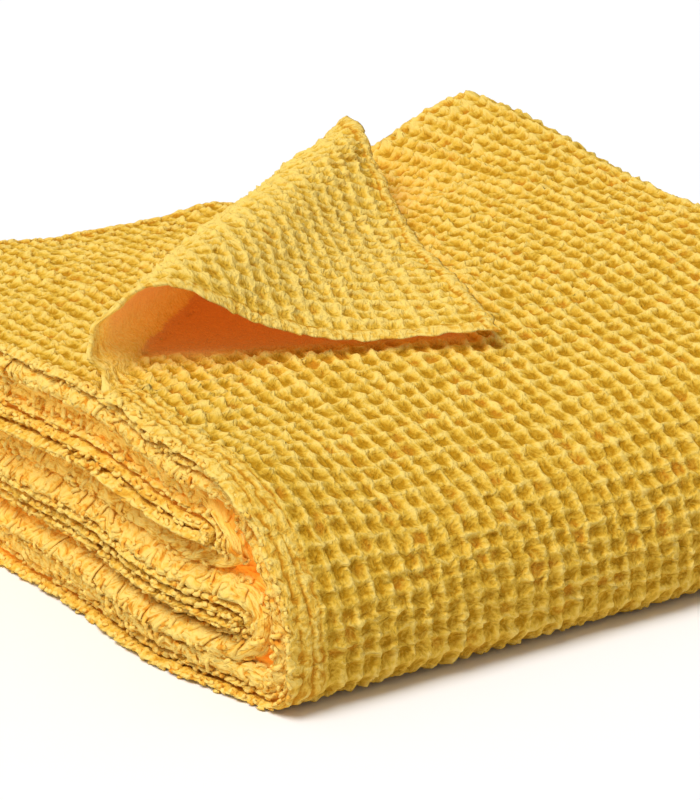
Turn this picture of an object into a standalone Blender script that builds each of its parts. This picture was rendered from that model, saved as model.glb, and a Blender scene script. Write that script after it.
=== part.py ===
"""A waffle-weave cotton bedspread, folded for the shelf, with one corner turned over.

The bedspread is one sheet. It is folded across its width into a strip of four layers, and
the strip is folded back and forth along its length. The first run lies on top, wraps the
front in one round bend and comes back along the bottom, and four more runs lie between.
The back left corner of the top layer is rolled over towards the right front.

Axes: +X along the front bend, from the hems on the left to the folds on the right; +Y from
the front to the back; +Z up. The origin is at the middle of the footprint, on the floor.
Units are metres.
"""
import bisect
import math

import bmesh
import bpy
from mathutils import Vector

# The weave's own pitch is the measure of everything in the photograph
CELL = 0.011

# Cloth
SHEET = 0.0040              # thickness over the ridges of the weave
PITCH = 0.0056              # from one layer of the folded stack to the next

# Folded stack
WIDTH = 42.0 * CELL         # left hems to right folds
DEPTH = 41.0 * CELL         # front bend to back hems
RUNS = 6                    # passes of the strip, each of four layers
STRIP = 4 * PITCH           # thickness of one run
STACK = RUNS * STRIP        # height where nothing presses it down

# Front bend, to the middle of the strip
BEND_RADIUS = 7.6 * CELL    # the big round shoulder
TUCK_RADIUS = 1.45 * CELL   # the tight turn at the floor
FOLD_RADIUS = STRIP / 2     # the turns between neighbouring runs

# How far each hidden turn stays behind the front bend or ahead of the back hems
LOWER_FRONT_TURN = 2.9 * CELL
UPPER_FRONT_TURN = 7.5 * CELL
BACK_TURN_INSET = 0.8 * CELL
LAST_RUN_INSET = 1.2 * CELL

# Across the strip, how far the inner edges stay in from the outer ones
SECOND_HEM_INSET = 0.35 * CELL
LEFT_FOLD_INSET = 0.25 * CELL
INNER_FOLD_INSET = 0.45 * CELL

# Turned corner: the roll starts on a line from the left hem to the back hem
ROLL_ON_LEFT = 15.2 * CELL  # from the front, on the left hem
ROLL_ON_BACK = 35.0 * CELL  # from the left, on the back hem
ROLL_NARROWS = 0.80         # size of the roll at the back hem against that at the left hem
ROLL_LIFT = 1.35 * PITCH    # height at which the flap lies on the layer under it
ROLL_END_RISE = 0.17        # how much taller it stands near the back hem

# Profile of the roll where it is widest: arc length to the end of each stretch, in weave
# cells, and the angle there of the cloth's way, from 0 straight back to 180 straight over
ROLL_PROFILE = (
    # arc, angle
    (0.0, 8.0),
    (1.0, 50.0),
    (1.9, 84.0),
    (3.0, 110.0),
    (4.2, 133.0),
    (5.5, 158.0),
    (6.9, 192.0),
    (8.7, 216.0),
    (11.2, 212.0),
    (13.4, 204.0),
    (15.4, 190.0),
    (17.4, 180.0),
)

# Places that every layer of the stack has a row of points at, so that neighbours match
ROWS_X = [x * CELL for x in (4, 11, 18, 24, 30, 36)]
ROWS_Y = [y * CELL for y in (9.5, 15, 21, 27, 32.5, 37)]

ROW_CLEARANCE = CELL        # no such row closer than this to the end of a straight stretch

# Steps round the bends
BEND_STEPS = 8
TUCK_STEPS = 3
FOLD_STEPS = 5
OUTER_FOLD_STEPS = 5
INNER_FOLD_STEPS = 3

CREASE_MARGIN = 2.0 * CELL  # how far past the turned corner its creases may run
CREASE_SNAP = 1e-5          # points this close to a crease count as on it
SHARP_EDGE = 40.0           # degrees
YELLOW = (0.93, 0.58, 0.10, 1.0)
ROUGHNESS = 0.9


def smooth(low, high, value):
    """Rise from 0 at low to 1 at high without a corner."""
    t = min(max((value - low) / (high - low), 0.0), 1.0)
    return t * t * (3.0 - 2.0 * t)


def rise(low, high):
    """A share that grows from 0 at low to 1 at high."""
    return lambda at: smooth(low, high, at)


def fall(low, high):
    """A share that drops from 1 at low to 0 at high."""
    return lambda at: 1.0 - smooth(low, high, at)


def bump(centre, reach):
    """A share of 1 at the centre that is gone at about twice the reach."""
    return lambda at: math.exp(-((at - centre) / reach) ** 2)


def wave(rate, start):
    """A slow wave, with its rate in radians for each weave cell."""
    return lambda at: math.sin(rate * at + start)


def always(_):
    """The whole of it everywhere."""
    return 1.0


# How high the settled stack stands at the front bend, as a share of the loose one
SETTLED_FRONT = 0.775

# What is added to that share elsewhere, by weave cells from the left and from the front
SETTLED_MORE = (
    # amount, across, back
    (0.225, always, rise(4.0, 20.0)),               # full and springy behind the bend
    (0.11, fall(0.0, 9.0), bump(5.0, 4.0)),         # the near corner stands up
    (0.05, fall(0.0, 9.0), bump(14.0, 6.0)),        # and carries the start of the roll
    (0.05, rise(22.0, 42.0), always),               # the right folds are springy
    (0.14, rise(22.0, 42.0), rise(18.0, 41.0)),     # most of all at the back
    (-0.09, fall(28.0, 41.0), rise(28.0, 42.0)),    # the back hems sag
    (-0.09, bump(30.0, 8.0), rise(28.0, 42.0)),     # into a hollow behind the roll
    (0.012, wave(0.23, 0.8), wave(0.31, 0.0)),      # and nothing is quite level
)

# How far the layer ends step in and out, in weave cells, as waves up the stack
STEPS_LEFT = ((0.34, wave(2.1, 0.6)), (0.16, wave(4.7, 0.0)))
STEPS_RIGHT = ((0.30, wave(1.7, 1.0)),)
STEPS_BACK = ((0.45, wave(1.3, 2.0)), (0.20, wave(3.1, 0.0)))
STEPS_RAISED = rise(0.0, 1.5)           # none at the floor
STEPS_LEFT_SHARE = fall(0.0, 12.0), rise(2.0, 8.0)
STEPS_RIGHT_SHARE = rise(28.0, 42.0), rise(2.0, 10.0)
STEPS_BACK_SHARE = rise(24.0, 41.0)

# Where along its line the roll stands taller
ROLL_END = bump(38.0, 7.0)


class Route:
    """A path in a plane made of straight stretches and round turns, walked by distance."""

    def __init__(self, start, heading, sections, rows):
        self.stretches = []
        self.starts = [0.0]
        self.stops = [0.0]
        point = Vector(start)
        for length, turn, steps in sections:
            done = self.starts[-1]
            if turn == 0.0:
                way = math.cos(heading)
                marks = sorted((row - point.x) / way for row in rows)
                self.stops += [done + mark for mark in marks
                               if ROW_CLEARANCE < mark < length - ROW_CLEARANCE]
            self.stops += [done + length * (k + 1) / steps for k in range(steps)]
            self.stretches.append((point.copy(), heading, length, turn))
            self.starts.append(done + length)
            point = self.along(self.stretches[-1], length)[0]
            heading += turn
        self.length = self.starts[-1]

    @staticmethod
    def along(stretch, distance):
        """The point and the heading at a distance along one stretch."""
        point, heading, length, turn = stretch
        if turn == 0.0:
            way = Vector((math.cos(heading), math.sin(heading)))
            return point + way * distance, heading
        radius = length / abs(turn)
        side = math.copysign(1.0, turn)
        centre = point + Vector((-math.sin(heading), math.cos(heading))) * radius * side
        now = heading + turn * distance / length
        return centre - Vector((-math.sin(now), math.cos(now))) * radius * side, now

    def at(self, distance):
        """The point and the heading at a distance along the whole path."""
        k = bisect.bisect_right(self.starts, distance) - 1
        k = min(max(k, 0), len(self.stretches) - 1)
        return self.along(self.stretches[k], distance - self.starts[k])


def across_route():
    """The strip's own section: x to the right, h out from the middle of the strip.

    The layer with the top hem runs to the right, turns down round the outer fold, comes
    back, turns up at the left, runs to the inner fold and comes back to the second hem.
    """
    outer = 1.5 * PITCH
    inner = 0.5 * PITCH
    right = WIDTH - outer - SHEET / 2
    left = inner + SHEET / 2 + LEFT_FOLD_INSET
    inner_right = right - INNER_FOLD_INSET
    half = math.pi
    sections = (
        # length, turn, steps
        (right, 0.0, 1),
        (half * outer, -half, OUTER_FOLD_STEPS),
        (right - left, 0.0, 1),
        (half * inner, -half, INNER_FOLD_STEPS),
        (inner_right - left, 0.0, 1),
        (half * inner, half, INNER_FOLD_STEPS),
        (inner_right - SECOND_HEM_INSET, 0.0, 1),
    )
    return Route((0.0, outer), 0.0, sections, ROWS_X)


def along_route():
    """The middle of the strip from the top hem: y to the back, z up."""
    top = STACK - STRIP / 2
    bottom = STRIP / 2
    bend_y = STRIP / 2 + BEND_RADIUS
    tuck_y = STRIP / 2 + TUCK_RADIUS
    wall = top - BEND_RADIUS - (bottom + TUCK_RADIUS)
    back = DEPTH - FOLD_RADIUS - STRIP / 2 - BACK_TURN_INSET
    lower = LOWER_FRONT_TURN + STRIP
    upper = UPPER_FRONT_TURN + STRIP
    last = DEPTH - LAST_RUN_INSET
    quarter = math.pi / 2
    half = math.pi
    sections = (
        # length, turn, steps
        (DEPTH - bend_y, 0.0, 1),
        (quarter * BEND_RADIUS, quarter, BEND_STEPS),
        (wall, 0.0, 1),
        (quarter * TUCK_RADIUS, quarter, TUCK_STEPS),
        (back - tuck_y, 0.0, 1),
        (half * FOLD_RADIUS, half, FOLD_STEPS),
        (back - lower, 0.0, 1),
        (half * FOLD_RADIUS, -half, FOLD_STEPS),
        (back - lower, 0.0, 1),
        (half * FOLD_RADIUS, half, FOLD_STEPS),
        (back - upper, 0.0, 1),
        (half * FOLD_RADIUS, -half, FOLD_STEPS),
        (last - upper, 0.0, 1),
    )
    return Route((DEPTH, top), math.pi, sections, ROWS_Y)


ACROSS = across_route()
ALONG = along_route()
TOP_PANEL = ACROSS.starts[1]
TOP_RUN = ALONG.starts[1]

# The line that the corner rolls over: along it, and across it towards the front
ROLL_LINE = Vector((ROLL_ON_BACK, DEPTH - ROLL_ON_LEFT))
ROLL_WAY = ROLL_LINE.normalized()
ROLL_OVER = Vector((ROLL_WAY.y, -ROLL_WAY.x))
ROLL_START = Vector((0.0, ROLL_ON_LEFT))
ROLL_LENGTH = ROLL_LINE.length


def roll_size(way):
    """Size of the roll at a distance along its line, 1 at the left hem."""
    return 1.0 + (ROLL_NARROWS - 1.0) * (way / ROLL_LENGTH) ** 2


def roll_point(arc):
    """The roll's widest section: distance towards the front, height and angle, in cells."""
    over = 0.0
    up = 0.0
    for (arc_a, angle_a), (arc_b, angle_b) in zip(ROLL_PROFILE, ROLL_PROFILE[1:]):
        reach = min(arc, arc_b) - arc_a
        if reach <= 0.0:
            break
        turned = math.radians(angle_a + 0.5 * (angle_b - angle_a) * reach / (arc_b - arc_a))
        over -= math.cos(turned) * reach
        up += math.sin(turned) * reach
    angle = ROLL_PROFILE[-1][1]
    for (arc_a, angle_a), (arc_b, angle_b) in zip(ROLL_PROFILE, ROLL_PROFILE[1:]):
        if arc < arc_b:
            angle = angle_a + (angle_b - angle_a) * (arc - arc_a) / (arc_b - arc_a)
            break
    return over, up, math.radians(angle)


def turned_corner(x, y, out):
    """Where a point of the top layer goes as the corner rolls over, or None off the flap."""
    offset = Vector((x, y)) - ROLL_START
    arc = -offset.dot(ROLL_OVER)
    if arc <= 0.0:
        return None
    way = offset.dot(ROLL_WAY)
    size = roll_size(way)
    height = size * (1.0 + ROLL_END_RISE * ROLL_END(way / CELL))
    last_arc = ROLL_PROFILE[-1][0]
    over, up, angle = roll_point(min(arc / (size * CELL), last_arc))
    end_up = roll_point(last_arc)[1]
    share = min(arc / (size * CELL * last_arc), 1.0)
    over *= size * CELL
    up *= height * CELL
    up += (ROLL_LIFT - end_up * height * CELL) * smooth(0.0, 1.0, share)
    over += max(arc - size * CELL * last_arc, 0.0)
    place = ROLL_START + ROLL_WAY * way + ROLL_OVER * (over + math.sin(angle) * out)
    layer = STACK - PITCH / 2
    return Vector((place.x, place.y, layer + up + math.cos(angle) * out))


def stepped(steps, height):
    """How far the layer ends are out of line at a height, none of it at the floor."""
    return sum(amount * shape(height) for amount, shape in steps) * STEPS_RAISED(height)


def settle(point):
    """Press the square stack into the soft, uneven one that lies on the floor."""
    x = point.x / CELL
    y = point.y / CELL
    z = (point.z - (PITCH - SHEET) / 2) / CELL
    press = SETTLED_FRONT
    for amount, across, back in SETTLED_MORE:
        press += amount * across(x) * back(y)
    inside = STEPS_LEFT_SHARE[0](x) * STEPS_LEFT_SHARE[1](y)
    outside = STEPS_RIGHT_SHARE[0](x) * STEPS_RIGHT_SHARE[1](y)
    x += stepped(STEPS_LEFT, z) * inside + stepped(STEPS_RIGHT, z) * outside
    y += stepped(STEPS_BACK, z) * STEPS_BACK_SHARE(y)
    return Vector((x, y, z * press)) * CELL


def folded(u, v, out):
    """Take a point of the flat sheet, with its height over the middle, into the stack."""
    (x, h), heading = ACROSS.at(u)
    if u <= TOP_PANEL and v <= TOP_RUN:
        corner = turned_corner(x, DEPTH - v, out)
        if corner:
            return settle(corner)
    x -= math.sin(heading) * out
    h += math.cos(heading) * out
    (y, z), heading = ALONG.at(v)
    y += math.sin(heading) * h
    z -= math.cos(heading) * h
    return settle(Vector((x, y, z)))


def flat_sheet():
    """The sheet as it is cut, in steps that match its folds, and creased for the roll."""
    bm = bmesh.new()
    rows = [[bm.verts.new((u, v, 0.0)) for u in ACROSS.stops] for v in ALONG.stops]
    for row, ahead in zip(rows, rows[1:]):
        for k in range(len(row) - 1):
            bm.faces.new((row[k], row[k + 1], ahead[k + 1], ahead[k]))
    for arc, _ in ROLL_PROFILE:
        near = ROLL_START - ROLL_OVER * arc * CELL
        far = ROLL_START + ROLL_WAY * ROLL_LENGTH - ROLL_OVER * arc * ROLL_NARROWS * CELL
        way = (far - near).normalized()
        corner = [f for f in bm.faces if in_corner(f.calc_center_median())]
        edges = {e for f in corner for e in f.edges}
        verts = {w for f in corner for w in f.verts}
        bmesh.ops.bisect_plane(bm, geom=corner + list(edges) + list(verts),
                               dist=CREASE_SNAP,
                               plane_co=(near.x, DEPTH - near.y, 0.0),
                               plane_no=(way.y, way.x, 0.0))
    return bm


def in_corner(place):
    """Whether a place on the flat sheet is in the part that the roll touches."""
    on_back = place.x < ROLL_ON_BACK + CREASE_MARGIN
    on_left = place.y < DEPTH - ROLL_ON_LEFT + CREASE_MARGIN
    return on_back and on_left


def split_quad(face):
    """Split a face along the diagonal that goes the same way in every layer."""
    corners = list(face.verts)
    across = corners[2].co - corners[0].co
    first = 0 if across.x * across.y > 0.0 else 1
    bmesh.utils.face_split(face, corners[first], corners[first + 2])


def build_bedspread():
    """Cut, thicken, fold and settle the sheet."""
    bm = flat_sheet()
    bmesh.ops.triangulate(bm, faces=[f for f in bm.faces if len(f.verts) > 4])
    slab = bmesh.ops.extrude_face_region(bm, geom=bm.faces[:], use_keep_orig=True)
    for vert in [g for g in slab["geom"] if isinstance(g, bmesh.types.BMVert)]:
        vert.co.z = SHEET
    for vert in bm.verts:
        vert.co = folded(vert.co.x, vert.co.y, vert.co.z - SHEET / 2)
    for face in [f for f in bm.faces if len(f.verts) == 4]:
        split_quad(face)
    bmesh.ops.triangulate(bm, faces=[f for f in bm.faces if len(f.verts) > 3])
    bmesh.ops.recalc_face_normals(bm, faces=bm.faces[:])
    centre = [(min(side) + max(side)) / 2 for side in zip(*(vert.co.xy for vert in bm.verts))]
    bmesh.ops.translate(bm, verts=bm.verts[:], vec=(-centre[0], -centre[1], 0.0))
    mesh = bpy.data.meshes.new("bedspread")
    bm.to_mesh(mesh)
    bm.free()
    return mesh


def cotton():
    """Plain yellow cotton."""
    material = bpy.data.materials.new("yellow_cotton")
    material.use_nodes = True
    shader = material.node_tree.nodes["Principled BSDF"]
    shader.inputs["Base Color"].default_value = YELLOW
    shader.inputs["Roughness"].default_value = ROUGHNESS
    shader.inputs["Metallic"].default_value = 0.0
    return material


def main():
    for thing in list(bpy.data.objects):
        bpy.data.objects.remove(thing, do_unlink=True)
    bedspread = bpy.data.objects.new("bedspread", build_bedspread())
    bpy.context.scene.collection.objects.link(bedspread)
    bedspread.data.materials.append(cotton())
    bedspread.data.shade_smooth()
    bedspread.data.set_sharp_from_angle(angle=math.radians(SHARP_EDGE))


main()
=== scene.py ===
import math

import bpy
import numpy as np
from mathutils import Matrix, Vector


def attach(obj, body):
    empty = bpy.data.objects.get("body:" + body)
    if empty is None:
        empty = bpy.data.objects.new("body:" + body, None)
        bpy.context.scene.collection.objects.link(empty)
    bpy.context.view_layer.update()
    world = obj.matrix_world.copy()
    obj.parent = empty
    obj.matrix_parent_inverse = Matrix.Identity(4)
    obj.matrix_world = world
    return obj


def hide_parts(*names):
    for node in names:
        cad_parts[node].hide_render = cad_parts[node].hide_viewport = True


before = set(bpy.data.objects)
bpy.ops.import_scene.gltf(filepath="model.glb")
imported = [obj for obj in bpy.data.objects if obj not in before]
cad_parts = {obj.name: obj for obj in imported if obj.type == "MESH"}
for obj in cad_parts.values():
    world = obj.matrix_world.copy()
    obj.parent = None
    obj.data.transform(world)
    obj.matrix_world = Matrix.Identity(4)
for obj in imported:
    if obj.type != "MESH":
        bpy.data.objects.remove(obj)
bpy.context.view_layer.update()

print("frame loaded")

# everything below is counted in cells of the weave, and made metres at the very end
cell = 0.011

cloth = {
    "thickness": 0.0040 / cell,      # over the ridges
    "layerPitch": 0.0056 / cell,
    "cellsAcross": 166,              # cells of the weave in the open cloth
    "cellsAlong": 222,
    "least": 0.05,                   # thickness left between two pits
}


def smooth(low, high, value):
    t = np.clip((value - low) / (high - low), 0.0, 1.0)
    return t * t * (3.0 - 2.0 * t)


def rise(low, high):
    return lambda at: smooth(low, high, at)


def fall(low, high):
    return lambda at: 1.0 - smooth(low, high, at)


def bump(centre, reach):
    return lambda at: np.exp(-((at - centre) / reach) ** 2)


def wave(rate, start):
    return lambda at: np.sin(rate * at + start)


def always(at):
    return 1.0


def hump(shape, at):
    much, middle, reach = shape
    return much * bump(middle, reach)(at)


def blended(a, b, share):
    return a * (1 - share) + b * share


pack = {
    "width": 42.0,
    "depth": 41.0,
    "runs": 6,
    "bendRadius": 7.6,               # the big round shoulder at the front
    "tuckRadius": 1.45,
    "lowerFrontTurn": 2.9,           # how far the hidden turns stay back
    "upperFrontTurn": 7.5,
    "backTurnInset": 0.8,
    "lastRunInset": 1.2,
    "secondHemInset": 0.35,
    "leftFoldInset": 0.25,
    "innerFoldInset": 0.45,
    "upperFill": (3.0, 7.4, 2.2),    # how far the inner layers fill the front bend, round what
    "lowerFill": (0.6, 4.8, 1.7),    # height and over what reach
    "fillEnds": fall(8.0, 20.0),     # how far back
    "centreX": 20.896,               # middle of the footprint, from the near left corner
    "centreY": 20.654,
}

roll = {
    "onLeft": 15.2,                  # where the roll starts on the left hem, from the front
    "onBack": 35.0,                  # and on the back hem, from the left
    "narrows": 0.80,
    "lift": 1.35 * cloth["layerPitch"],
    "endRise": (0.42, 39.5, 5.0),    # humps: how much, where the middle is and how far it reaches
    "middleDip": (0.17, 26.0, 5.0),
    "sag": (0.42, 10.8, 3.2),        # of the cloth as it comes down to the flap
    "tipRise": (0.60, 0.0, 4.0),
    "innerHeight": 0.13,             # of the cloth over its middle inside the roll
    "innerBright": 0.72,
    "profile": (                     # arc in cells, way of the cloth in degrees
        (0.0, 8.0), (1.0, 50.0), (1.9, 84.0), (3.0, 110.0), (4.2, 133.0), (5.5, 158.0),
        (6.9, 192.0), (8.7, 216.0), (11.2, 212.0), (13.4, 204.0), (15.4, 190.0), (17.4, 180.0),
    ),
}

settled = {
    "front": 0.775,                  # height at the front bend against the loose stack
    "more": (                        # added to it: amount, across, back
        (0.225, always, rise(4.0, 20.0)),
        (0.11, fall(0.0, 9.0), bump(5.0, 4.0)),
        (0.05, fall(0.0, 9.0), bump(14.0, 6.0)),
        (0.05, rise(22.0, 42.0), always),
        (0.14, rise(22.0, 42.0), rise(18.0, 41.0)),
        (-0.09, fall(28.0, 41.0), rise(28.0, 42.0)),
        (-0.09, bump(30.0, 8.0), rise(28.0, 42.0)),
        (0.012, wave(0.23, 0.8), wave(0.31, 0.0)),
        (0.045, fall(26.0, 31.0), rise(24.0, 41.0)),
        (0.045, fall(9.0, 14.0), rise(24.0, 41.0)),
        (0.050, bump(23.5, 2.4), rise(31.0, 41.0)),
        (0.030, rise(31.0, 41.0), rise(30.0, 41.0)),
    ),
    "stepsLeft": ((0.34, wave(2.1, 0.6)), (0.16, wave(4.7, 0.0))),
    "stepsRight": ((0.30, wave(1.7, 1.0)),),
    "stepsBack": ((0.45, wave(1.3, 2.0)), (0.20, wave(3.1, 0.0))),
    "steps": rise(0.0, 1.5),         # the bottom layer has none
    "leftSide": (fall(0.0, 12.0), rise(2.0, 8.0)),       # where they are, across and back
    "rightSide": (rise(28.0, 42.0), rise(2.0, 10.0)),
    "backSide": rise(24.0, 41.0),
    "leftBulge": (1.15, 9.8, 6.2),   # of the low layers on the left
    "leftTuck": 0.7,
    "tuckStarts": rise(20.0, 30.0),
    "bulgeHeight": fall(1.5, 9.0),
    "bulgeWidth": fall(0.0, 14.0),
}


# the fold: where a point of the open cloth lies in the pack


def makeRoute(start, heading, sections):
    # straight stretches and round turns, one after the other
    rows = []
    x, y = start
    done = 0.0
    for length, turn in sections:
        rows.append((done, x, y, heading, length, turn))
        if turn:
            radius = length / turn
            x += radius * (math.sin(heading + turn) - math.sin(heading))
            y += radius * (math.cos(heading) - math.cos(heading + turn))
        else:
            x += math.cos(heading) * length
            y += math.sin(heading) * length
        heading += turn
        done += length
    return {"rows": np.array(rows), "length": done}


def routeAt(route, distance):
    rows = route["rows"]
    k = np.clip(np.searchsorted(rows[:, 0], distance, side="right") - 1, 0, len(rows) - 1)
    begun, x, y, heading, length, turn = np.moveaxis(rows[k], -1, 0)
    gone = distance - begun
    now = heading + turn * gone / length
    bent = turn != 0.0
    radius = np.where(bent, length / np.where(bent, turn, 1.0), 0.0)
    x = x + np.where(bent, radius * (np.sin(now) - np.sin(heading)), np.cos(heading) * gone)
    y = y + np.where(bent, radius * (np.cos(heading) - np.cos(now)), np.sin(heading) * gone)
    return x, y, now


pitch = cloth["layerPitch"]
strip = 4 * pitch
stack = pack["runs"] * strip
half = math.pi

outerTurn = 1.5 * pitch
innerTurn = 0.5 * pitch
rightEnd = pack["width"] - outerTurn - cloth["thickness"] / 2
leftEnd = innerTurn + cloth["thickness"] / 2 + pack["leftFoldInset"]
innerRight = rightEnd - pack["innerFoldInset"]
across = makeRoute((0.0, outerTurn), 0.0, (
    (rightEnd, 0.0),
    (half * outerTurn, -half),
    (rightEnd - leftEnd, 0.0),
    (half * innerTurn, -half),
    (innerRight - leftEnd, 0.0),
    (half * innerTurn, half),
    (innerRight - pack["secondHemInset"], 0.0),
))

topMiddle = stack - strip / 2
turnRadius = strip / 2
bendY = strip / 2 + pack["bendRadius"]
tuckY = strip / 2 + pack["tuckRadius"]
wall = topMiddle - pack["bendRadius"] - (strip / 2 + pack["tuckRadius"])
backTurn = pack["depth"] - turnRadius - strip / 2 - pack["backTurnInset"]
lowerTurn = pack["lowerFrontTurn"] + strip
upperTurn = pack["upperFrontTurn"] + strip
along = makeRoute((pack["depth"], topMiddle), half, (
    (pack["depth"] - bendY, 0.0),
    (half / 2 * pack["bendRadius"], half / 2),
    (wall, 0.0),
    (half / 2 * pack["tuckRadius"], half / 2),
    (backTurn - tuckY, 0.0),
    (half * turnRadius, half),
    (backTurn - lowerTurn, 0.0),
    (half * turnRadius, -half),
    (backTurn - lowerTurn, 0.0),
    (half * turnRadius, half),
    (backTurn - upperTurn, 0.0),
    (half * turnRadius, -half),
    (pack["depth"] - pack["lastRunInset"] - upperTurn, 0.0),
))

folds = across["rows"][:, 0]         # where each stretch and turn begins, across and along
starts = along["rows"][:, 0]
topPanel = folds[1]
topRun = starts[1]
floorRow = starts[4]
leftFold = 0.5 * (folds[3] + folds[4])
cellU = across["length"] / cloth["cellsAcross"]
cellV = along["length"] / cloth["cellsAlong"]

rollLength = math.hypot(roll["onBack"], pack["depth"] - roll["onLeft"])
rollWay = (roll["onBack"] / rollLength, (pack["depth"] - roll["onLeft"]) / rollLength)
rollOver = (rollWay[1], -rollWay[0])


def wayOf(x, y):
    # along the crease of the roll, from the left hem
    return x * rollWay[0] + (y - roll["onLeft"]) * rollWay[1]


def arcOf(x, y):
    # from the crease towards the turned corner
    return -(x * rollOver[0] + (y - roll["onLeft"]) * rollOver[1])


def rollSize(way):
    return 1.0 + (roll["narrows"] - 1.0) * (way / rollLength) ** 2


def rollSection(arc):
    # how far over and how high the cloth is after so much of the roll, and its way
    over, up = 0.0, 0.0
    steps = list(zip(roll["profile"], roll["profile"][1:]))
    angle = roll["profile"][-1][1]
    for (arcA, angleA), (arcB, angleB) in steps:
        reach = min(arc, arcB) - arcA
        if reach <= 0.0:
            break
        turned = math.radians(angleA + 0.5 * (angleB - angleA) * reach / (arcB - arcA))
        over -= math.cos(turned) * reach
        up += math.sin(turned) * reach
        angle = angleA + (angleB - angleA) * reach / (arcB - arcA)
    return over, up, math.radians(angle)


rollEnd = roll["profile"][-1][0]
rollArcs = np.linspace(0.0, rollEnd, 700)
rollTable = np.array([rollSection(arc) for arc in rollArcs])


def turnedCorner(x, y, out):
    arc, way = arcOf(x, y), wayOf(x, y)
    size = rollSize(way)
    height = size * (1.0 + hump(roll["endRise"], way) - hump(roll["middleDip"], way))
    short = np.clip(arc / size, 0.0, rollEnd)
    over = np.interp(short, rollArcs, rollTable[:, 0]) * size
    up = np.interp(short, rollArcs, rollTable[:, 1]) * height
    angle = np.interp(short, rollArcs, rollTable[:, 2])
    up += (roll["lift"] - rollTable[-1, 1] * height) * smooth(0.0, 1.0, short / rollEnd)
    up -= hump(roll["sag"], short)
    up += hump(roll["tipRise"], x + pack["depth"] - y)
    over += np.maximum(arc - size * rollEnd, 0.0) + np.sin(angle) * out
    return (
        rollWay[0] * way + rollOver[0] * over,
        roll["onLeft"] + rollWay[1] * way + rollOver[1] * over,
        stack - pitch / 2 + up + np.cos(angle) * out,
        arc,
    )


def settle(x, y, z):
    # the square stack is pressed down, and the ends of its layers step in and out
    z = z - (pitch - cloth["thickness"]) / 2
    press = settled["front"] + sum(a * f(x) * g(y) for a, f, g in settled["more"])

    def stepped(name):
        return sum(amount * shape(z) for amount, shape in settled[name]) * settled["steps"](z)

    def onSide(name):
        shapeX, shapeY = settled[name]
        return shapeX(x) * shapeY(y)

    newX = x + stepped("stepsLeft") * onSide("leftSide")
    newX = newX + stepped("stepsRight") * onSide("rightSide")
    bulge = hump(settled["leftBulge"], y) - settled["leftTuck"] * settled["tuckStarts"](y)
    newX = newX - bulge * settled["bulgeHeight"](z) * settled["bulgeWidth"](x)
    newY = y + stepped("stepsBack") * settled["backSide"](y)
    return newX, newY, np.maximum(z * press, 0.0)


def foldCloth(u, v, out):
    x, h, wayAcross = routeAt(across, u)
    cornerX, cornerY, cornerZ, arc = turnedCorner(x, pack["depth"] - v, out)
    x = x - np.sin(wayAcross) * out
    h = h + np.cos(wayAcross) * out
    y, z, wayAlong = routeAt(along, v)
    y = y + np.sin(wayAlong) * h
    z = z - np.cos(wayAlong) * h
    turned = (u <= topPanel) & (v <= topRun) & (arc > 0.0)
    x = np.where(turned, cornerX, x)
    y = np.where(turned, cornerY, y)
    z = np.where(turned, cornerZ, z)
    upper = (v > starts[10]) * hump(pack["upperFill"], z)
    lower = (v > starts[6]) * (v < starts[9]) * hump(pack["lowerFill"], z)
    y = y - (upper + lower) * pack["fillEnds"](y)
    x, y, z = settle(x, y, z)
    return np.stack((x - pack["centreX"], y - pack["centreY"], z), axis=-1) * cell


# the weave: how high each place of the cloth stands over its middle, counted in cells
weave = {
    "knot": 0.185,                   # where two ridges cross
    "floor": -0.045,                 # of a pit
    "ropeWidth": 0.20,
    "front": {"ropeAcross": 0.70, "ropeAlong": 0.88, "pitAcross": 0.34, "pitAlong": 0.35},
    "back": {"ropeAcross": 0.70, "ropeAlong": 0.84, "pitAcross": 0.26, "pitAlong": 0.32},
    "pitRound": 2.4,                 # 2 is a round pit, and more a squarer one
    "pitSlope": (0.05, 1.30),
    "knotWidth": 0.26,
    "knotRise": 0.19,
    "knotUneven": 0.6,
    "uneven": 0.36,                  # how much ridges and pits differ
    "unevenAlong": 0.4,              # share of it for the ridges along the cloth
    "pitStray": 0.12,
    "wander": 0.13,                  # how far the knots stray
    "drift": (0.10, 3.0),            # and more slowly: how far, over how many cells
    "swell": (0.045, 4.5),           # slow rise and fall of the whole cloth, in the same way
    "lumps": 0.068,
    "lumpScale": 3.2,                # per cell
    "lumpsInPits": 0.35,
    "bright": 0.88,
    "lumpShade": 0.16,
    "backPaintedLight": 0.22,              # painted light: the back is brighter where it shows in the roll
    "frontShade": 0.42,
    "frontPits": 0.11,
    "frontStarts": rise(31.0, 44.0),
    "seed": 11,
}

hem = {
    "rope": 0.64,                    # width of one of its ropes
    "ropesFront": 3,
    "ropesBack": 1,
    "height": 0.165,
    "innerHeight": 0.235,            # where the layers lie on each other
    "bright": 0.88,
    "groove": 0.115,                 # width of the groove between two ropes
    "grooveDepth": 0.85,
    "grooveShade": 1.05,
    "grooveEven": 0.75,
    "grooveUneven": 0.25,
    "rimGroove": 0.9,
    "knot": 0.57,                    # length of a knot
    "knotStep": 0.37,                # of each rope against the next
    "knotUneven": 0.35,
    "notch": 0.12,                   # width of the notch between two knots
    "notchDepth": 0.32,
    "notchShade": 0.30,
    "beads": 0.045,
    "beadShade": 0.20,
    "beadsAlong": 2.4,               # per cell
    "beadsAcross": 2.6,
    "knotted": 0.45,                 # how much of the knots' colour it takes
    "bulge": 0.13,                   # of the round rim
    "bulgeUneven": 0.05,
    "rimBright": 0.85,
    "endsBefore": 0.06,              # where the hem passes into the weave
    "endsAfter": 0.12,
}

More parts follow.
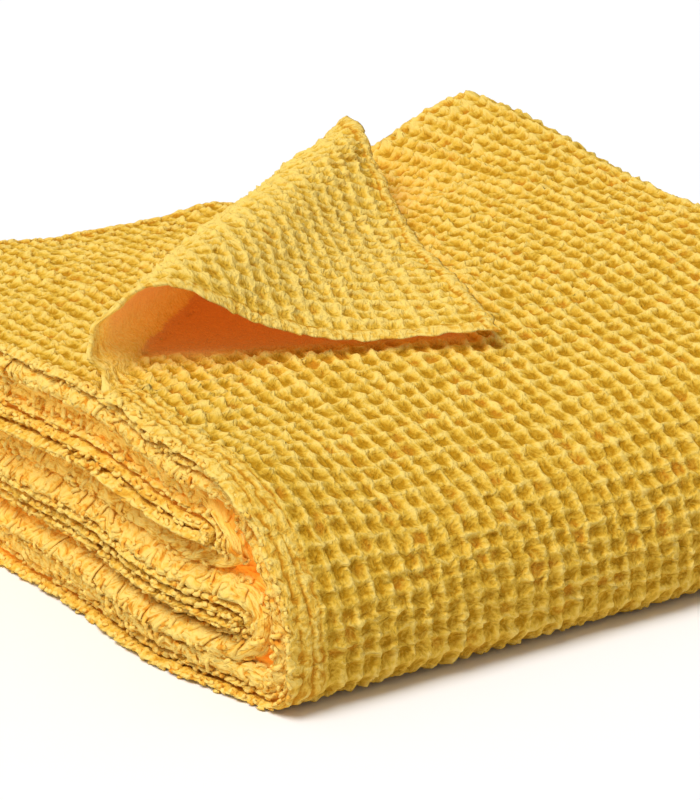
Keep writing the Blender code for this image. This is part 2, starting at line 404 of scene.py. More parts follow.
leftSkin = {                         # the folds on the left are full and knotted all over
    "reach": 1.7,
    "height": 0.26,
    "lumps": 0.075,
    "bright": 0.80,
    "lumpShade": 0.24,
    "lumpsAcross": 3.9,              # per cell
    "lumpsAlong": 2.3,
    "stretch": 1.7,                  # of the yarn's pattern round the folds
}

chance = np.random.default_rng(weave["seed"])
noiseSize = 509
noiseGrids = {name: chance.uniform(-1.0, 1.0, (noiseSize, noiseSize))
              for name in ("strayU", "strayV", "ropeU", "ropeV", "lump", "swell", "hem", "pit",
                           "pitU", "pitV", "wide", "long")}


def uneven(name, s, t):
    # smooth noise between -1 and 1, one value for each whole step of s and t
    grid = noiseGrids[name]
    i, j = np.floor(s).astype(int), np.floor(t).astype(int)
    f, g = smooth(0.0, 1.0, s - i), smooth(0.0, 1.0, t - j)
    i0, i1 = i % noiseSize, (i + 1) % noiseSize
    j0, j1 = j % noiseSize, (j + 1) % noiseSize
    near = blended(grid[i0, j0], grid[i1, j0], f)
    far = blended(grid[i0, j1], grid[i1, j1], f)
    return blended(near, far, g)


def waffle(s, t, side):
    # 0 in the pits, 1 on the knots; the back has its knots behind the pits of the front
    own = weave["front" if side > 0 else "back"]
    if side < 0:
        s, t = s + 0.5, t + 0.5
    i, j = np.floor(s).astype(int), np.floor(t).astype(int)
    at = (i + 40 * side) % noiseSize, j % noiseSize      # the two sides differ
    stray, differ, power = weave["pitStray"], weave["uneven"], weave["pitRound"]
    offU = (s - i - 0.5 - stray * noiseGrids["pitU"][at]) / (
        own["pitAcross"] * (1.0 + differ * noiseGrids["wide"][at]))
    offV = (t - j - 0.5 - stray * noiseGrids["pitV"][at]) / (
        own["pitAlong"] * (1.0 + differ * noiseGrids["long"][at]))
    off = (np.abs(offU) ** power + np.abs(offV) ** power) ** (1 / power)
    pit = 1.0 - smooth(*weave["pitSlope"], off)
    heightU = own["ropeAcross"] * (1.0 + differ * uneven("ropeU", 2 * s, 2 * t))
    heightV = own["ropeAlong"] * (
        1.0 + weave["unevenAlong"] * differ * uneven("ropeV", 2 * s, 2 * t))
    nearS, nearT = np.round(s), np.round(t)
    ropeU = heightU * np.exp(-(np.abs(t - nearT) / weave["ropeWidth"]) ** 2)
    ropeV = heightV * np.exp(-(np.abs(s - nearS) / weave["ropeWidth"]) ** 2)
    apart = (s - nearS) ** 2 + (t - nearT) ** 2
    knot = weave["knotRise"] * np.exp(-apart / weave["knotWidth"] ** 2)
    atKnot = nearS.astype(int) % noiseSize, nearT.astype(int) % noiseSize
    knot *= 1.0 + weave["knotUneven"] * noiseGrids["lump"][atKnot]
    return (1.0 - (1.0 - ropeU) * (1.0 - np.minimum(ropeV, 1.0))) * (1.0 - pit) + knot


def lumps(name, s, t):
    # round lumps with creases between them, about -1 in a crease and 1 on a lump
    return 2.8 * np.abs(uneven(name, s, t)) - 0.95


def ropes(edge, run, height):
    # knotted ropes side by side along an edge: their height, and how bright they lie
    rope, knot = hem["rope"], hem["knot"]
    order = np.floor(edge / rope)
    border = np.abs(edge / rope - np.round(edge / rope)) * rope
    groove = np.exp(-(border / hem["groove"]) ** 2)
    worn = hem["grooveEven"] + hem["grooveUneven"] * uneven("pit", 1.7 * run, order)
    groove *= np.where(edge < 0.5 * rope, hem["rimGroove"], worn)
    # 31 and 7 keep the noise of the ropes apart
    beads = lumps("hem", hem["beadsAlong"] * run + 31 * order, hem["beadsAcross"] * edge)
    stray = hem["knotUneven"] * uneven("long", 0.9 * run, 7 * order)
    count = run / knot + hem["knotStep"] * order + stray
    notch = np.exp(-(np.abs(count - np.round(count)) * knot / hem["notch"]) ** 2)
    high = height * (1.0 - hem["grooveDepth"] * groove) * (1.0 - hem["notchDepth"] * notch)
    bright = hem["bright"] - hem["grooveShade"] * groove * (edge > 0.4 * rope)
    bright = bright - hem["notchShade"] * notch + hem["beadShade"] * beads
    return high + hem["beads"] * beads, bright


def relief(s, t, side):
    # how high a side stands over the middle of the cloth, how bright it lies, how knotted it is
    outer = s * cellU < folds[2]
    ridgeAndShade = waffle(s, t, side)
    lump = lumps("lump", weave["lumpScale"] * s + 100 * side, weave["lumpScale"] * t)
    height = weave["floor"] + (weave["knot"] - weave["floor"]) * ridgeAndShade
    height = height + weave["lumps"] * (weave["lumpsInPits"] + ridgeAndShade) * lump
    # painted shade: pits are darker than the ridges, and the creases between lumps darker than the
    # lumps
    bright = ridgeAndShade * (weave["bright"] + weave["lumpShade"] * lump)
    # painted light: the back of the cloth is made brighter where it shows in the roll
    if side < 0:
        bright = bright + weave["backPaintedLight"] * outer
    onSide = np.minimum(s, cloth["cellsAcross"] - s)
    onEnd = np.minimum(t, cloth["cellsAlong"] - t)
    stacked = (t * cellV > starts[3]) | (s * cellU > folds[2])
    hemHeight = np.where(stacked, hem["innerHeight"], hem["height"])
    width = hem["rope"] * hem["ropesFront" if side > 0 else "ropesBack"]
    knotted = 0.0
    for edge, run, wide in ((onSide, t, width), (onEnd, s, hem["rope"])):
        share = 1.0 - smooth(wide - hem["endsBefore"], wide + hem["endsAfter"], edge)
        high, shine = ropes(edge, run, hemHeight)
        height = blended(height, high, share)
        bright = blended(bright, shine, share)
        knotted = np.maximum(knotted, hem["knotted"] * share)
    fold = np.exp(-((s * cellU - leftFold) / leftSkin["reach"]) ** 4) * (side > 0)
    blobs = lumps("ropeV", leftSkin["lumpsAcross"] * s, leftSkin["lumpsAlong"] * t)
    height = blended(height, leftSkin["height"] + leftSkin["lumps"] * blobs, fold)
    bright = blended(bright, leftSkin["bright"] + leftSkin["lumpShade"] * blobs, fold)
    knotted = np.maximum(knotted, fold)
    # the wall at the front lies in the shade of its own yarns
    shaded = weave["frontStarts"](t * cellV) * outer
    bright = bright * (1.0 - weave["frontShade"] * shaded) + weave["frontPits"] * shaded
    return height, bright, knotted


# the mesh: blocks of two by two cells, finely divided where the cloth shows

fine = 16                            # steps of the finest block
blocksU = cloth["cellsAcross"] // 2
blocksV = cloth["cellsAlong"] // 2
latticeU = blocksU * fine + 1
latticeV = blocksV * fine + 1
sidePoints = latticeU * latticeV     # lattice points are numbered: front, back, then middle
stepsS = np.arange(latticeU) * 2.0 / fine
stepsT = np.arange(latticeV) * 2.0 / fine

blockU = np.arange(blocksU)[:, None] * np.ones((1, blocksV), int)
blockV = np.arange(blocksV)[None, :] * np.ones((blocksU, 1), int)
midU = (2 * blockU + 1) * cellU
midV = (2 * blockV + 1) * cellV
nearby = 1.3                         # how far past a turn its finer blocks go


def rowsNear(low, high):
    return (midV > low - nearby) & (midV < high + nearby)


def columnsNear(low, high):
    return (midU > low - nearby) & (midU < high + nearby)


onTop = midU < topPanel
secondX = pack["secondHemInset"] + across["length"] - midU
backY = pack["depth"] - midV


def divide():
    # steps of each block across and along, for the front and for the back of the cloth:
    # 1 is the coarsest, and 16 the finest
    levels = {}
    for side in (1, -1):
        a = np.ones((blocksU, blocksV), int)
        b = np.ones((blocksU, blocksV), int)

        def atLeast(where, stepsAcross, stepsAlong):
            a[where] = np.maximum(a[where], stepsAcross)
            b[where] = np.maximum(b[where], stepsAlong)

        atLeast(rowsNear(starts[1], starts[2]), 1, 2)
        for k in (3, 5, 7, 9, 11):
            atLeast(rowsNear(starts[k], starts[k + 1]), 1, 8)
        atLeast(columnsNear(folds[1], folds[2]), 8, 1)
        atLeast(columnsNear(folds[3], folds[4]), 16, 1)
        atLeast(columnsNear(folds[5], folds[6]), 8, 1)
        atLeast(blockU == 0, 8, 8)
        atLeast(blockU == blocksU - 1, 8, 8)
        atLeast((blockV == 0) | (blockV == blocksV - 1), 8, 8)
        if side > 0:
            shown = onTop | columnsNear(folds[1], folds[2])
            atLeast(shown & (midV < floorRow + 1.0), 16, 16)
            atLeast(columnsNear(folds[1], folds[2]), 8, 8)
            atLeast(columnsNear(folds[3], folds[4]), 16, 16)
            for k in (5, 9):
                atLeast(shown & rowsNear(starts[k], starts[k + 1]), 8, 8)
            atLeast(blockU == 0, 8, 16)
        else:
            atLeast(onTop & (midV < topRun) & (arcOf(midU, backY) > -1.0), 16, 16)
            second = (midU > folds[6]) & (midV < topRun)
            atLeast(second & (arcOf(secondX, backY) > -0.5), 16, 16)
        levels[side] = (a, b)
    # the rim has the same steps on both sides
    (aF, bF), (aB, bB) = levels[1], levels[-1]
    for edge in ((slice(None), 0), (slice(None), blocksV - 1)):
        aF[edge] = aB[edge] = np.maximum(aF[edge], aB[edge])
    for edge in ((0, slice(None)), (blocksU - 1, slice(None))):
        bF[edge] = bB[edge] = np.maximum(bF[edge], bB[edge])
    return levels


levels = divide()

pieceNames = ("turned_corner", "top_and_front", "second_layer", "left_hems", "inner_layers",
              "right_folds", "left_folds")
innerLayers = pieceNames.index("inner_layers")
label = np.full((blocksU, blocksV), innerLayers)


def mark(where, name):
    label[where] = pieceNames.index(name)


# the bounds of a piece are counted in blocks, or in cells of the open cloth
mark((blockU < 22) & (midV < floorRow + 1.0), "top_and_front")
mark((blockU < 18) & (blockV < 13), "turned_corner")
mark((midU > folds[6]) & (blockV < 14), "second_layer")
mark(((blockU == 0) | (blockU == blocksU - 1)) & (label == innerLayers), "left_hems")
mark(columnsNear(folds[3], folds[4]) & (label == innerLayers), "left_folds")
mark(columnsNear(folds[1], folds[2]) & (label == innerLayers), "right_folds")


def edgeSteps(a, b):
    # steps of every block edge: the more of the two blocks that share it
    alongU = np.ones((blocksU, blocksV + 1), int)
    alongU[:, :-1] = a
    alongU[:, 1:] = np.maximum(alongU[:, 1:], a)
    alongV = np.ones((blocksU + 1, blocksV), int)
    alongV[:-1] = b
    alongV[1:] = np.maximum(alongV[1:], b)
    return alongU, alongV


def code(i, j):
    return i * latticeV + j


def edgePoints(i0, j0, i1, j1, steps):
    # lattice points from one corner of a block to the next, without the last
    if i0 != i1:
        jump = (i1 - i0) // steps
        return [code(i0 + jump * k, j0) for k in range(steps)]
    jump = (j1 - j0) // steps
    return [code(i0, j0 + jump * k) for k in range(steps)]


def sideFaces(side, piece):
    # quads of the blocks whose edges match their own steps, and polygons of the others
    a, b = levels[side]
    edgeU, edgeV = edgeSteps(a, b)
    regular = ((edgeU[:, :-1] == a) & (edgeU[:, 1:] == a) & (edgeV[:-1] == b) & (edgeV[1:] == b))
    inPiece = label == piece
    quads, polygons = [], []
    for stepsA, stepsB in set(zip(a[inPiece & regular].tolist(), b[inPiece & regular].tolist())):
        i, j = np.nonzero(inPiece & regular & (a == stepsA) & (b == stepsB))
        jumpI, jumpJ = fine // stepsA, fine // stepsB
        k, m = np.meshgrid(np.arange(stepsA), np.arange(stepsB), indexing="ij")
        i = (i[:, None] * fine + k.ravel() * jumpI).ravel()
        j = (j[:, None] * fine + m.ravel() * jumpJ).ravel()
        quads.append(np.stack((code(i, j), code(i, j + jumpJ), code(i + jumpI, j + jumpJ),
                               code(i + jumpI, j)), axis=1))
    for i, j in zip(*np.nonzero(inPiece & ~regular)):
        stepsA, stepsB = a[i, j], b[i, j]
        jumpI, jumpJ = fine // stepsA, fine // stepsB
        for k in range(stepsA):
            for m in range(stepsB):
                i0, j0 = i * fine + k * jumpI, j * fine + m * jumpJ
                i1, j1 = i0 + jumpI, j0 + jumpJ
                low = edgeU[i, j] // stepsA if m == 0 else 1
                high = edgeU[i, j + 1] // stepsA if m == stepsB - 1 else 1
                left = edgeV[i, j] // stepsB if k == 0 else 1
                right = edgeV[i + 1, j] // stepsB if k == stepsA - 1 else 1
                polygons.append(
                    edgePoints(i0, j0, i0, j1, left) + edgePoints(i0, j1, i1, j1, high)
                    + edgePoints(i1, j1, i1, j0, right) + edgePoints(i1, j0, i0, j0, low))
    quads = np.concatenate(quads) if quads else np.zeros((0, 4), int)
    return quads, polygons


def wallFaces(piece):
    # walls where the piece ends, by way of the middle of the cloth; a hem gets a round rim there
    inPiece = label == piece
    frontU, frontV = edgeSteps(*levels[1])
    backU, backV = edgeSteps(*levels[-1])
    rims, walls = [], []
    for i, j in zip(*np.nonzero(inPiece)):
        i0, j0, i1, j1 = i * fine, j * fine, (i + 1) * fine, (j + 1) * fine
        sides = (
            (j == 0, (i, j - 1), (i1, j0, i0, j0), frontU[i, j], backU[i, j]),
            (j == blocksV - 1, (i, j + 1), (i0, j1, i1, j1), frontU[i, j + 1], backU[i, j + 1]),
            (i == 0, (i - 1, j), (i0, j0, i0, j1), frontV[i, j], backV[i, j]),
            (i == blocksU - 1, (i + 1, j), (i1, j1, i1, j0), frontV[i + 1, j], backV[i + 1, j]),
        )
        for atRim, other, ends, stepsFront, stepsBack in sides:
            if not atRim and inPiece[other]:
                continue
            steps = max(stepsFront, stepsBack)
            last = [code(ends[2], ends[3])]
            inner = [c + 2 * sidePoints for c in edgePoints(*ends, steps) + last]
            near = edgePoints(*ends, stepsFront) + last
            far = [c + sidePoints for c in edgePoints(*ends, stepsBack) + last]
            made = rims if atRim else walls
            for row, flip in ((near, False), (far, True)):
                share = steps // (len(row) - 1)
                for k, (p, q) in enumerate(zip(row, row[1:])):
                    face = [q, p] + inner[k * share:(k + 1) * share + 1]
                    made.append(face[::-1] if flip else face)
    return rims, walls


def findPlain():
    # lattice points on coarse blocks lie flat
    plain = []
    for side in (1, -1):
        a, b = levels[side]
        mask = np.zeros((latticeU, latticeV), bool)
        for i, j in zip(*np.nonzero((a < 4) | (b < 4))):
            mask[i * fine:(i + 1) * fine + 1, j * fine:(j + 1) * fine + 1] = True
        plain.append(mask.ravel())
    return np.concatenate(plain + [np.zeros(sidePoints, bool)])


plainPoints = findPlain()


def strayed(s, t):
    # where a crossing of the weave really lies in the open cloth, and how much it is raised
    drift, driftCells = weave["drift"]
    swell, swellCells = weave["swell"]
    slowS, slowT = s / driftCells, t / driftCells
    strayU = weave["wander"] * uneven("strayU", 2 * s, 2 * t) + drift * uneven("lump", slowS, slowT)
    strayV = weave["wander"] * uneven("strayV", 2 * s, 2 * t) + drift * uneven("pit", slowS, slowT)
    swell = swell * uneven("swell", s / swellCells, t / swellCells)
    return s * cellU + strayU, t * cellV + strayV, swell


# where painted glow and painted shade stand in for light through and between the cloth: arcs start
# at the crease of the roll, hems at their edge
through = {
    "rightGap": 1.2,                 # how far in the gaps between the layers begin
    "backGap": 2.4,
    "gapStarts": rise(0.0, 1.5),
    "underFlap": rise(0.8, 2.4),
    "underLeft": rise(4.0, 7.0),
    "underLight": 0.13,
    "colourArc": rise(0.6, 3.2),
    "colourHem": rise(0.1, 2.6),
    "lightArc": rise(-0.6, 3.6),
    "lightHem": rise(-0.6, 1.2),
    "flatArc": rise(-0.6, 0.9),      # the weave lies flat inside the roll
    "flatHem": rise(0.8, 2.2),
    "flatAtHem": 0.6,
    "flatMore": 0.4,
}


def paintedLightAndFlat(s, t, side):
    # how deep a place lies between the layers, for its painted shade and glow; and, on the upper
    # side in the roll and under its flap, how much of the roll's painted shade colour and painted
    # glow it has and how flat it is
    u, v = s * cellU, t * cellV
    x, y, z = (foldCloth(u, v, 0.0) / cell + np.array((pack["centreX"], pack["centreY"], 0.0))).T
    fromSide = np.minimum(x, pack["width"] - through["rightGap"] - x)
    fromEdge = np.minimum(fromSide, pack["depth"] - through["backGap"] - y)
    deep = through["gapStarts"](fromEdge)
    openY = pack["depth"] - v
    secondShows = (u > folds[6]) & (v < topRun) & (arcOf(x, openY) > -1.0)
    topSkin = (u < folds[2]) & (v < floorRow + 3.0) & (side >= 0)
    stacked = ((u > folds[2]) | (v > starts[3])) & ~secondShows & ~topSkin
    arc, way = arcOf(u, openY), wayOf(u, openY)
    widest = np.minimum(way * rollWay[0] / rollWay[1],
                        (pack["depth"] - roll["onLeft"] - way * rollWay[1]) / rollWay[0])
    covered = widest - rollSize(way) * (rollEnd - rollTable[-1, 0])
    corner = (u < topPanel) & (v < topRun) & (side >= 0)
    under = through["underFlap"](covered + arc) * through["underLeft"](way) * (arc <= 0.6)
    inRoll = np.maximum(through["colourArc"](arc) * through["colourHem"](u), under)
    light = np.maximum(through["lightArc"](arc) * through["lightHem"](u),
                       through["underLight"] * under)
    atHem = through["flatAtHem"] + through["flatMore"] * through["flatHem"](u)
    flat = np.maximum(through["flatArc"](arc) * atHem, under)
    return np.where(stacked, deep, 0.0), inRoll * corner, light * corner, flat * corner


def clothPoints(codes):
    # the place of every lattice point: front, back or middle
    layer, flat = np.divmod(codes, sidePoints)
    s, t = stepsS[flat // latticeV], stepsT[flat % latticeV]
    front, frontBright, frontKnots = relief(s, t, 1)
    behind, behindBright, behindKnots = relief(s, t, -1)
    deep, inRoll, light, flattened = paintedLightAndFlat(s, t, np.where(layer == 0, 1, -1))
    front = blended(front, roll["innerHeight"], flattened)
    frontBright = blended(frontBright, roll["innerBright"], flattened)
    behind = np.maximum(behind, cloth["least"] - front)  # a pit never goes through the cloth
    plain = cloth["thickness"] / 2
    isPlain = plainPoints[codes]
    front = np.where(isPlain, plain, front)
    out = np.choose(layer, (front, np.where(isPlain, -plain, -behind), 0.0))
    # the brightness carries painted shade of pits, grooves and the front wall; between, inRoll and
    # rollLight carry painted bounced light and painted glow
    values = {
        "ridgeAndShade": np.choose(layer, (frontBright, behindBright, hem["rimBright"])),
        "knotted": np.choose(layer, (frontKnots, behindKnots, 1.0)),
        "between": deep,
        "inRoll": inRoll,
        "rollLight": light,
    }
    u, v, swell = strayed(s, t)
    rim = hem["bulge"] + hem["bulgeUneven"] * uneven("hem", 2.3 * t, 2.3 * s)
    bulge = np.where(layer == 2, rim, 0.0)
    u += bulge * ((s > cloth["cellsAcross"] - 0.01) * 1.0 - (s < 0.01))
    v += bulge * ((t > cloth["cellsAlong"] - 0.01) * 1.0 - (t < 0.01))
    spread = s + leftSkin["stretch"] * np.clip(s - leftFold / cellU, -0.5, 0.5)
    return foldCloth(u, v, out + swell), spread, t, values


def makeMesh(name, points, faces, s, t, values):
    mesh = bpy.data.meshes.new(name)
    mesh.from_pydata(points.tolist(), [], faces)
    corners = np.zeros(len(mesh.loops), int)
    mesh.loops.foreach_get("vertex_index", corners)
    weaveMap = mesh.uv_layers.new(name="weave")
    weaveMap.data.foreach_set("uv", np.stack((s, t), axis=1)[corners].ravel())
    for key, value in values.items():
        mesh.attributes.new(key, "FLOAT", "POINT").data.foreach_set("value", value)
    mesh.update()
    mesh.shade_smooth()
    made = bpy.data.objects.new(name, mesh)
    bpy.context.scene.collection.objects.link(made)
    print(name, "triangles", sum(len(f) - 2 for f in faces))
    return made


def clothPiece(piece):
    frontQuads, frontPolygons = sideFaces(1, piece)
    backQuads, backPolygons = sideFaces(-1, piece)
    rims, walls = wallFaces(piece)
    faces = frontQuads.tolist() + frontPolygons
    faces += (backQuads[:, ::-1] + sidePoints).tolist()
    faces += [[c + sidePoints for c in reversed(p)] for p in backPolygons]
    faces += rims + walls
    codes, places = np.unique(np.concatenate([np.array(f) for f in faces]), return_inverse=True)
    cuts = np.cumsum([0] + [len(f) for f in faces])
    indexed = [places[p:q].tolist() for p, q in zip(cuts, cuts[1:])]
    points, s, t, values = clothPoints(codes)
    made = makeMesh(pieceNames[piece], points, indexed, s, t, values)
    for polygon in made.data.polygons[len(faces) - len(walls):]:
        polygon.use_smooth = False
    return made


# loops of yarn that stand out of the hems and of the folds on the left
loops = {
    "yarn": 0.115,                   # half its thickness, in cells
    "yarnUneven": (0.75, 1.2),
    "reach": (0.05, 0.13),
    "spread": 1.8,                   # how much wider than high a loop is
    "onHem": 3.0,                    # loops for each cell of an edge
    "onFold": 6.0,
    "hemWidth": 0.05,
    "foldWidth": 0.75,
    "foldHeight": 0.26,
    "place": (0.1, 0.9),             # in its own share of the edge
    "turn": 1.2,
    "lean": 0.18,
    "through": 0.55,                 # how far it goes through the thickness of a hem
    "dip": 0.15,                     # how far its ends go on into the cloth
    "bright": 0.86,
    "shade": 0.20,
    "sides": 4,
    "rings": 5,
}


def yarnLoops():
    sides, rings = loops["sides"], loops["rings"]
    hemWidth, onHem = loops["hemWidth"], loops["onHem"]
    flapEnd = pack["depth"] - roll["onLeft"]
    rows = (
        # middle u, spread of u, v from and to, way out in u or 0 for up, loops a cell
        (hemWidth, hemWidth, flapEnd, along["length"], -1.0, onHem),
        (across["length"] - hemWidth, hemWidth, 0.0, along["length"], 1.0, onHem),
        (leftFold, loops["foldWidth"], 0.0, along["length"], 0.0, loops["onFold"]),
    )
    theta = np.linspace(-loops["dip"], math.pi + loops["dip"], rings)
    angles = np.arange(sides)[:, None] * 2 * math.pi / sides
    ones = np.ones((1, 1, sides))
    allPoints, allS, allT = [], [], []
    for middleU, spread, low, high, wayU, perCell in rows:
        number = int((high - low) * perCell)
        reach = chance.uniform(*loops["reach"], (number, 1))
        turn = chance.uniform(-loops["turn"], loops["turn"], (number, 1))
        startU = middleU + spread * chance.uniform(-1.0, 1.0, (number, 1))
        share = np.arange(number)[:, None] + chance.uniform(*loops["place"], (number, 1))
        startV = low + (high - low) * share / number
        lean = chance.uniform(-loops["lean"], loops["lean"], (number, 1))
        sideways = reach * np.cos(theta) * loops["spread"]
        up = reach * np.sin(theta)
        v = startV + sideways * np.cos(turn)
        if wayU:
            u = startU + wayU * up
            out = lean + sideways * np.sin(turn) * loops["through"]
        else:
            u = startU + sideways * np.sin(turn)
            out = loops["foldHeight"] + up
        path = foldCloth(u, v, out)
        ahead = np.gradient(path, axis=1)
        ahead /= np.linalg.norm(ahead, axis=2, keepdims=True)
        plane = np.cross(path[:, -1] - path[:, 0], path[:, rings // 2] - path[:, 0])
        plane = (plane / np.linalg.norm(plane, axis=1, keepdims=True))[:, None, :]
        upward = np.cross(ahead, plane)
        thick = loops["yarn"] * cell * chance.uniform(*loops["yarnUneven"], (number, 1, 1, 1))
        ring = (plane[:, :, None, :] * np.cos(angles) + upward[:, :, None, :] * np.sin(angles))
        allPoints.append((path[:, :, None, :] + thick * ring).reshape(-1, 3))
        allS.append((u[:, :, None] * ones / cellU).ravel())
        allT.append((v[:, :, None] * ones / cellV).ravel())
    pattern = []
    for k in range(0, (rings - 1) * sides, sides):
        for m in range(sides):
            n = (m + 1) % sides
            pattern.append([k + m, k + n, k + sides + n, k + sides + m])
    pattern += [list(range(sides))[::-1], [(rings - 1) * sides + m for m in range(sides)]]
    points = np.concatenate(allPoints)
    points[:, 2] = np.maximum(points[:, 2], 0.0)         # none goes into the floor
    perLoop = rings * sides
    faces = [[c + k for c in f] for k in range(0, len(points), perLoop) for f in pattern]
    s, t = np.concatenate(allS), np.concatenate(allT)
    nothing = np.zeros(len(points))
    bright = loops["bright"] + loops["shade"] * uneven("hem", 3 * s, 3 * t)
    values = {"ridgeAndShade": bright, "knotted": nothing + 1.0, "between": nothing,
              "inRoll": nothing, "rollLight": nothing}
    return makeMesh("yarn_loops", points, faces, s, t, values)


yarn = {
    # painted shade: the middle and pit colours, also of the knots, are darker and more orange
    # copies of the yarn's colour, for the shade and bounced light in the pits
    "ridgeColour": (0.945, 0.675, 0.165, 1.0),
    "halfShadeColour": (0.80, 0.49, 0.054, 1.0),
    "pitShadeColour": (0.50, 0.245, 0.008, 1.0),
    "warmPitShadeColour": (0.57, 0.235, 0.012, 1.0),
    "knotRidgeColour": (0.96, 0.68, 0.175, 1.0),
    "knotHalfShadeColour": (0.92, 0.54, 0.080, 1.0),
    "knotPitShadeColour": (0.76, 0.29, 0.022, 1.0),
    "rollShadeColour": (0.76, 0.39, 0.100, 1.0),      # painted shade inside the roll, as from light bounced in its hollow
    "rollGlow": (0.92, 0.35, 0.060, 1.0),
    "gapGlowColour": (0.92, 0.46, 0.050, 1.0),       # painted bounced light deep between the layers, also the colour of their painted glow
    "roughness": 0.92,
    "gloss": 0.06,
    "sheen": 0.05,
    "sheenRoughness": 0.6,
    "twist": (5.0, 2.0),                         # noises: scale per cell, and detail
    "patch": (1.3, 1.0),
    "knots": (2.8, 0.5),
    "seams": (0.8, 1.0),
    "warm": (0.62, 0.0),
    "seamAcross": 3.2,                           # seams lie this much closer across
    "seamSharp": 14.0,
    "twistShade": 0.9,
    "patchShade": 0.5,
    "knotShade": 1.5,
    "seamShade": 0.50,
    "warmStarts": 0.585,
    "warmRise": 5.0,
    "middleStarts": 0.04,                        # heights at which the colours change
    "ridgeStarts": 0.46,
    "colourStep": 0.42,
    "gapShare": 0.6,
    "gapLift": 0.25,                             # of the glow on ridges, and its limits
    "gapLeast": 0.25,
    "gapMost": 1.1,
    "lightInRoll": 0.35,                         # painted glow for what comes through the cloth
    "lightBetween": 0.38,
    "bumpStrength": 0.9,
    "bumpDepth": 0.0018,                         # metres
    "knotBump": 0.5,
    "seamBump": 0.15,
}


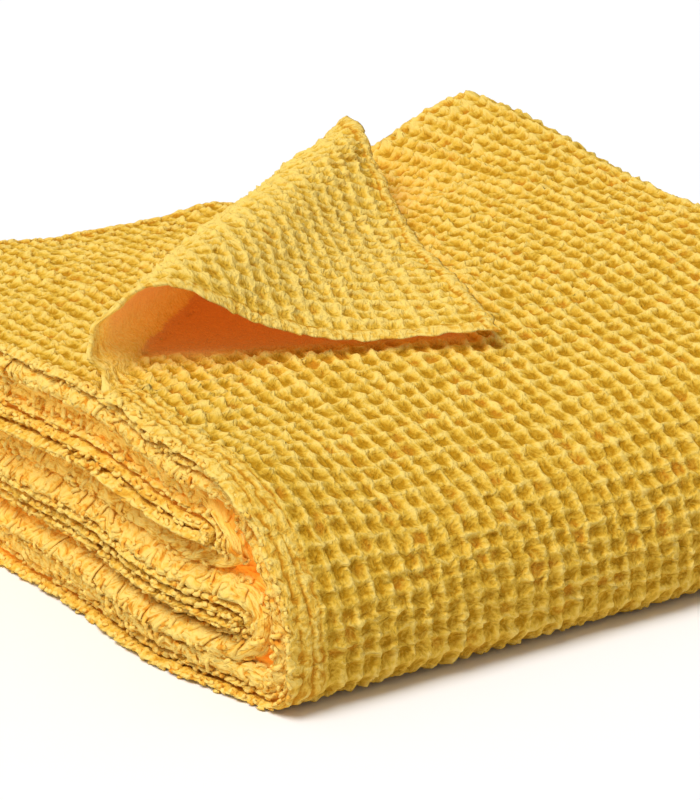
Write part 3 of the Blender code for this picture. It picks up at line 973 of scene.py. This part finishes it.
def yarnMaterial():
    material = bpy.data.materials.new("waffle_cotton")
    material.use_nodes = True
    nodes, links = material.node_tree.nodes, material.node_tree.links
    shader = nodes["Principled BSDF"]
    shader.inputs["Roughness"].default_value = yarn["roughness"]
    shader.inputs["Specular IOR Level"].default_value = yarn["gloss"]
    shader.inputs["Sheen Weight"].default_value = yarn["sheen"]
    shader.inputs["Sheen Tint"].default_value = yarn["ridgeColour"]
    shader.inputs["Sheen Roughness"].default_value = yarn["sheenRoughness"]
    uv = nodes.new("ShaderNodeUVMap")
    uv.uv_map = "weave"

    def attribute(name):
        node = nodes.new("ShaderNodeAttribute")
        node.attribute_name = name
        return node.outputs["Fac"]

    def noise(name, across=1.0):
        node = nodes.new("ShaderNodeTexNoise")
        node.noise_dimensions = "2D"
        node.inputs["Scale"].default_value, node.inputs["Detail"].default_value = yarn[name]
        stretched = nodes.new("ShaderNodeVectorMath")
        stretched.operation = "MULTIPLY"
        stretched.inputs[1].default_value = (across, 1.0, 1.0)
        links.new(uv.outputs["UV"], stretched.inputs[0])
        links.new(stretched.outputs["Vector"], node.inputs["Vector"])
        return node.outputs["Fac"]

    def reckon(operation, *values):
        node = nodes.new("ShaderNodeMath")
        node.operation = operation
        node.use_clamp = operation == "DIVIDE"
        for socket, value in zip(node.inputs, values):
            if isinstance(value, float):
                socket.default_value = value
            else:
                links.new(value, socket)
        return node.outputs["Value"]

    def centred(value):
        return reckon("SUBTRACT", value, 0.5)

    def times(a, b):
        return reckon("MULTIPLY", a, b)

    def above(start):
        # 0 to 1 over one step of height
        return reckon("DIVIDE", reckon("SUBTRACT", height, start), yarn["colourStep"])

    def mixed(factor, a, b):
        node = nodes.new("ShaderNodeMix")
        node.data_type = "RGBA"
        node.clamp_factor = True
        links.new(factor, node.inputs["Factor"])
        for socket, value in zip((node.inputs[6], node.inputs[7]), (a, b)):
            if isinstance(value, tuple):
                socket.default_value = value
            else:
                links.new(value, socket)
        return node.outputs[2]

    # how high a place looks, which picks its lit or painted shade colour: the weave, the twist of
    # the yarn, patches, knots and their seams
    knotted, deep, inRoll = attribute("knotted"), attribute("between"), attribute("inRoll")
    twist = noise("twist")
    knots = times(centred(noise("knots")), knotted)
    offSeam = reckon("ABSOLUTE", centred(noise("seams", across=yarn["seamAcross"])))
    seam = reckon("SUBTRACT", 1.0, reckon("MINIMUM", times(offSeam, yarn["seamSharp"]), 1.0))
    seam = times(seam, knotted)
    height = reckon("ADD", attribute("ridgeAndShade"), times(centred(twist), yarn["twistShade"]))
    height = reckon("ADD", height, times(centred(noise("patch")), yarn["patchShade"]))
    height = reckon("ADD", height, times(knots, yarn["knotShade"]))
    height = reckon("SUBTRACT", height, times(seam, yarn["seamShade"]))

    warm = times(reckon("SUBTRACT", noise("warm"), yarn["warmStarts"]), yarn["warmRise"])
    # painted shade: low places take the darker pit and middle colours, high places the ridge colour
    pit = mixed(warm, yarn["pitShadeColour"], yarn["warmPitShadeColour"])
    low = mixed(knotted, pit, yarn["knotPitShadeColour"])
    middle = mixed(knotted, yarn["halfShadeColour"], yarn["knotHalfShadeColour"])
    high = mixed(knotted, yarn["ridgeColour"], yarn["knotRidgeColour"])
    shade = mixed(above(yarn["ridgeStarts"]), mixed(above(yarn["middleStarts"]), low, middle), high)
    # painted bounced light deep between the layers, and painted shade inside the roll
    colour = mixed(times(deep, yarn["gapShare"]), shade, yarn["gapGlowColour"])
    links.new(mixed(inRoll, colour, yarn["rollShadeColour"]), shader.inputs["Base Color"])

    # painted glow, standing in for the light that comes through the cloth and bounces between the
    # layers
    textured = reckon("MINIMUM", reckon("ADD", height, yarn["gapLift"]), yarn["gapMost"])
    textured = reckon("MAXIMUM", textured, yarn["gapLeast"])
    glow = reckon("ADD", times(attribute("rollLight"), yarn["lightInRoll"]),
                  times(times(deep, textured), yarn["lightBetween"]))
    links.new(mixed(inRoll, yarn["gapGlowColour"], yarn["rollGlow"]), shader.inputs["Emission Color"])
    links.new(glow, shader.inputs["Emission Strength"])

    lift = nodes.new("ShaderNodeBump")
    lift.inputs["Strength"].default_value = yarn["bumpStrength"]
    lift.inputs["Distance"].default_value = yarn["bumpDepth"]
    raised = reckon("ADD", twist, times(knots, yarn["knotBump"]))
    raised = reckon("SUBTRACT", raised, times(seam, yarn["seamBump"]))
    links.new(raised, lift.inputs["Height"])
    links.new(lift.outputs["Normal"], shader.inputs["Normal"])
    return material


cotton = yarnMaterial()


def dress(piece):
    piece.data.materials.append(cotton)
    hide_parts("bedspread")
    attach(piece, "root")


yarnEnds = yarnLoops()
dress(yarnEnds)
for k, name in enumerate(pieceNames):
    piece = clothPiece(k)
    dress(piece)
print("cloth made")


studio = {
    "floorSize": 14.0,
    "floorHeight": -0.0005,          # just under the cloth
    "floorColour": (0.93, 0.93, 0.93, 1.0),
    "floorRoughness": 0.9,
    "worldColour": (1.0, 1.0, 1.0, 1.0),
    "worldStrength": 0.38,
    "keyFrom": (-0.47, -0.05, 0.88),
    "keySpread": 35.0,               # degrees, for soft shadows
    "keyStrength": 2.6,
}

bpy.ops.object.select_all(action="DESELECT")
bpy.ops.mesh.primitive_plane_add(size=studio["floorSize"],
                                 location=(0.0, 0.0, studio["floorHeight"]))
floor = bpy.context.object
floor.name = "floor"
paper = bpy.data.materials.new("white_paper")
paper.use_nodes = True
paperShader = paper.node_tree.nodes["Principled BSDF"]
paperShader.inputs["Base Color"].default_value = studio["floorColour"]
paperShader.inputs["Roughness"].default_value = studio["floorRoughness"]
floor.data.materials.append(paper)

world = bpy.data.worlds.new("studio_white")
world.use_nodes = True
background = world.node_tree.nodes["Background"]
background.inputs["Color"].default_value = studio["worldColour"]
background.inputs["Strength"].default_value = studio["worldStrength"]
bpy.context.scene.world = world

bpy.ops.object.light_add(type="SUN", location=(0.0, 0.0, 3.0))
key = bpy.context.object
key.name = "key_light"
key.data.energy = studio["keyStrength"]
key.data.angle = math.radians(studio["keySpread"])
key.rotation_euler = Vector(studio["keyFrom"]).to_track_quat("Z", "Y").to_euler()

view = {
    "azimuth": -36.7,
    "elevation": 18.9,
    "distance": 230.0,               # in cells, from the near left corner of the pack
    "right": 2.53,
    "up": 14.9,
    "cellPoints": 21.7,              # picture points of one cell at that distance
    "pictureHeight": 800.0,
    "sensor": 36.0,
    "farthest": 50.0,
}

turnedBy, tilt = math.radians(view["azimuth"]), math.radians(view["elevation"])
level, steep = math.cos(tilt), math.sin(tilt)
backward = Vector((math.sin(turnedBy) * level, -math.cos(turnedBy) * level, steep))
rightward = Vector((math.cos(turnedBy), math.sin(turnedBy), 0.0))
upward = Vector((-math.sin(turnedBy) * steep, math.cos(turnedBy) * steep, level))
place = rightward * view["right"] + upward * view["up"] + backward * view["distance"]
place -= Vector((pack["centreX"], pack["centreY"], 0.0))
lens = bpy.data.cameras.new("camera")
camera = bpy.data.objects.new("camera", lens)
bpy.context.scene.collection.objects.link(camera)
turned = Matrix((rightward, upward, backward)).transposed().to_4x4()
camera.matrix_world = Matrix.Translation(place * cell) @ turned
lens.sensor_fit = "VERTICAL"
lens.sensor_height = view["sensor"]
lens.lens = view["cellPoints"] * view["distance"] * view["sensor"] / view["pictureHeight"]
lens.clip_end = view["farthest"]
bpy.context.scene.camera = camera
bpy.context.scene.view_settings.view_transform = "Standard"
print("studio ready")
